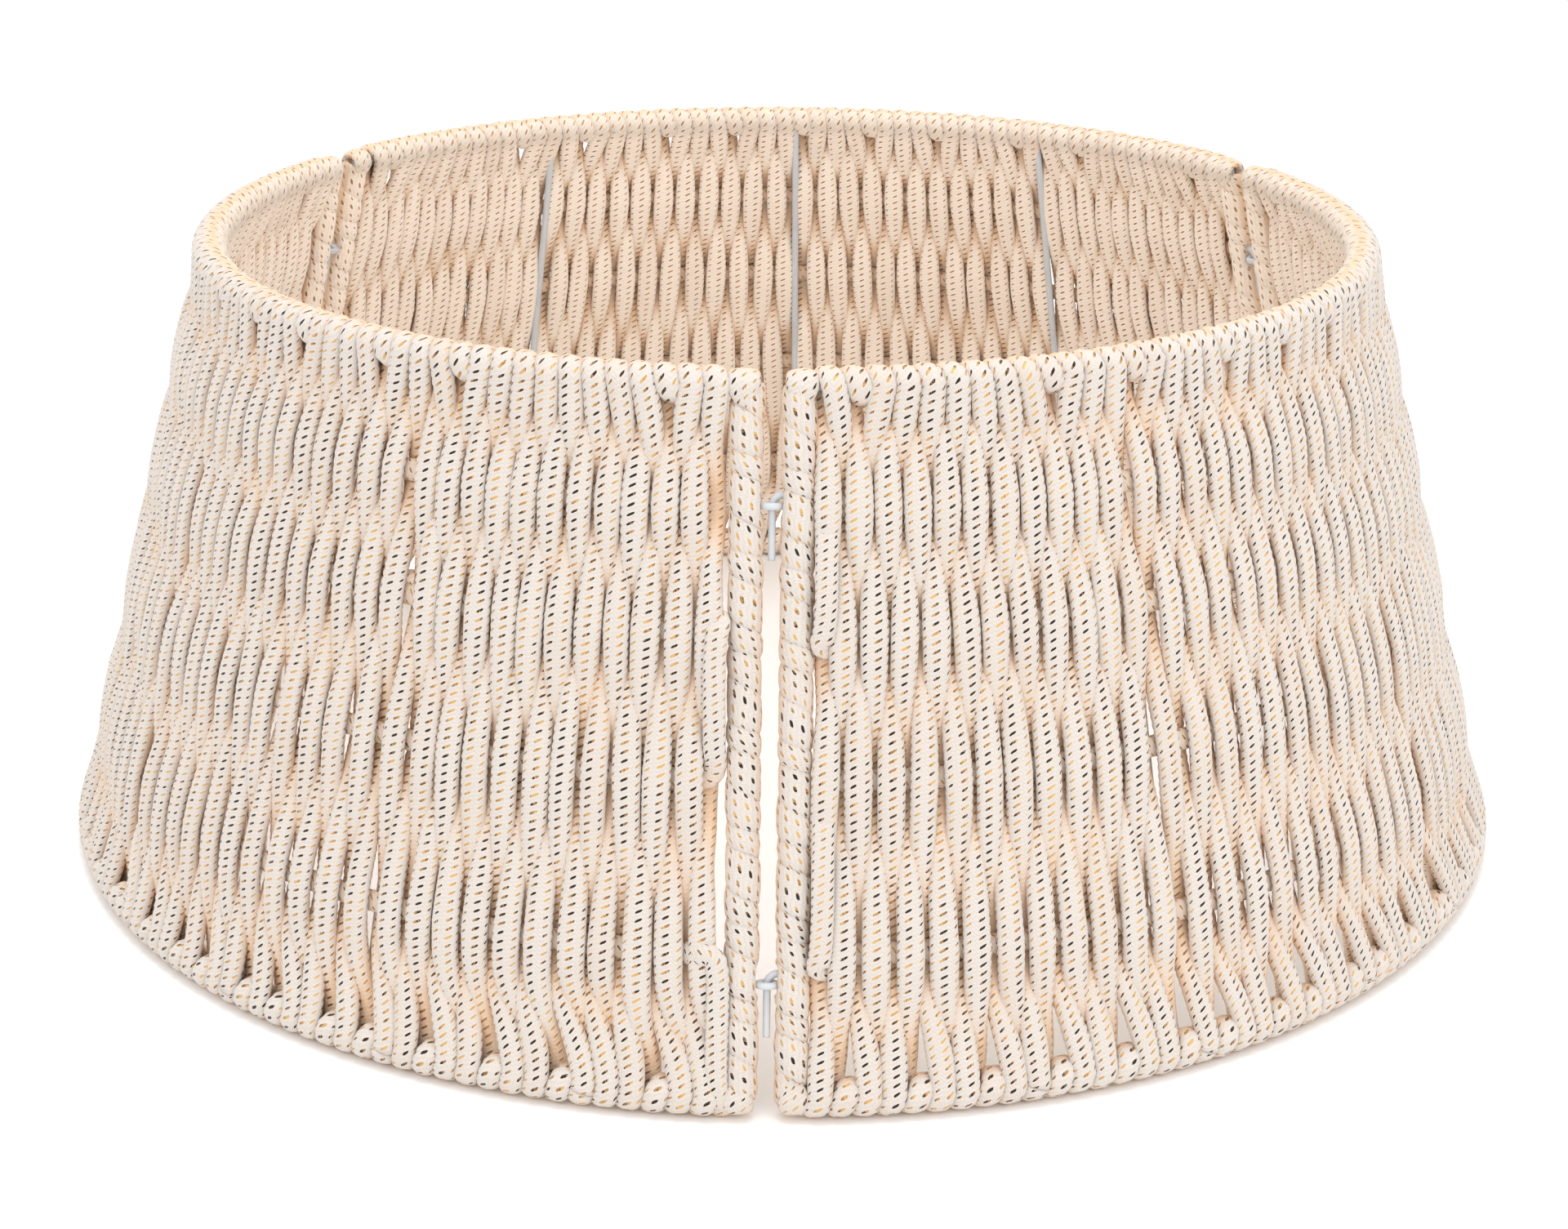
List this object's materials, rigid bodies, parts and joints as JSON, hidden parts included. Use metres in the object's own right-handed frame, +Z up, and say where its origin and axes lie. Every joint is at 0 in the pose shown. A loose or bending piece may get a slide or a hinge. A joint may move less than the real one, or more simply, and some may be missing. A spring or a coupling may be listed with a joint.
{
  "type": "tree skirt",
  "caption": "Woven cord tree collar: a low open cone of hinged wire-framed panels that hides a tree stand, closed by drop pins in wire eyes.",
  "frame": {"origin": "on the floor at the middle of the ring, at the centre of the bottom of the bounding box", "axes": "+Z up along the cone's axis, narrow rim up; -Y towards the seam that is opened to lay the collar round a trunk; +X to the right seen from that seam"},
  "size_m": [0.66, 0.6601, 0.2747],
  "materials": {
    "powder_coated_wire": "satin off-white powder coat",
    "braided_cord": "soft matte off-white braid with flecks of gold and dark metallic yarn"
  },
  "bodies": {
    "back_panel": {"back_top_rail": "powder_coated_wire", "back_bottom_rail": "powder_coated_wire", "back_pin_end_upright": "powder_coated_wire", "back_eye_end_upright": "powder_coated_wire", "back_rib_1": "powder_coated_wire", "back_rib_2": "powder_coated_wire", "back_rib_3": "powder_coated_wire", "back_upper_pin": "powder_coated_wire", "back_lower_pin": "powder_coated_wire", "back_upper_eye": "powder_coated_wire", "back_lower_eye": "powder_coated_wire", "back_pin_end_wrap": "braided_cord", "back_eye_end_wrap": "braided_cord", "back_warp": "braided_cord", "back_weft": "braided_cord"},
    "left_panel": {"left_top_rail": "powder_coated_wire", "left_bottom_rail": "powder_coated_wire", "left_pin_end_upright": "powder_coated_wire", "left_eye_end_upright": "powder_coated_wire", "left_rib_1": "powder_coated_wire", "left_rib_2": "powder_coated_wire", "left_rib_3": "powder_coated_wire", "left_upper_pin": "powder_coated_wire", "left_lower_pin": "powder_coated_wire", "left_upper_eye": "powder_coated_wire", "left_lower_eye": "powder_coated_wire", "left_pin_end_wrap": "braided_cord", "left_eye_end_wrap": "braided_cord", "left_warp": "braided_cord", "left_weft": "braided_cord"},
    "right_panel": {"right_top_rail": "powder_coated_wire", "right_bottom_rail": "powder_coated_wire", "right_pin_end_upright": "powder_coated_wire", "right_eye_end_upright": "powder_coated_wire", "right_rib_1": "powder_coated_wire", "right_rib_2": "powder_coated_wire", "right_rib_3": "powder_coated_wire", "right_upper_pin": "powder_coated_wire", "right_lower_pin": "powder_coated_wire", "right_upper_eye": "powder_coated_wire", "right_lower_eye": "powder_coated_wire", "right_pin_end_wrap": "braided_cord", "right_eye_end_wrap": "braided_cord", "right_warp": "braided_cord", "right_weft": "braided_cord"}
  },
  "joints": [
    {"name": "left_panel_hinge", "type": "hinge", "parent": "back_panel", "child": "left_panel", "pos_m": [-0.27886, 0.161, 0.008], "axis": [-0.2176, 0.1256, -0.9679], "range_deg": [0, 85]},
    {"name": "right_panel_hinge", "type": "hinge", "parent": "back_panel", "child": "right_panel", "pos_m": [0.27886, 0.161, 0.008], "axis": [-0.2176, -0.1256, 0.9679], "range_deg": [0, 85]}
  ]
}
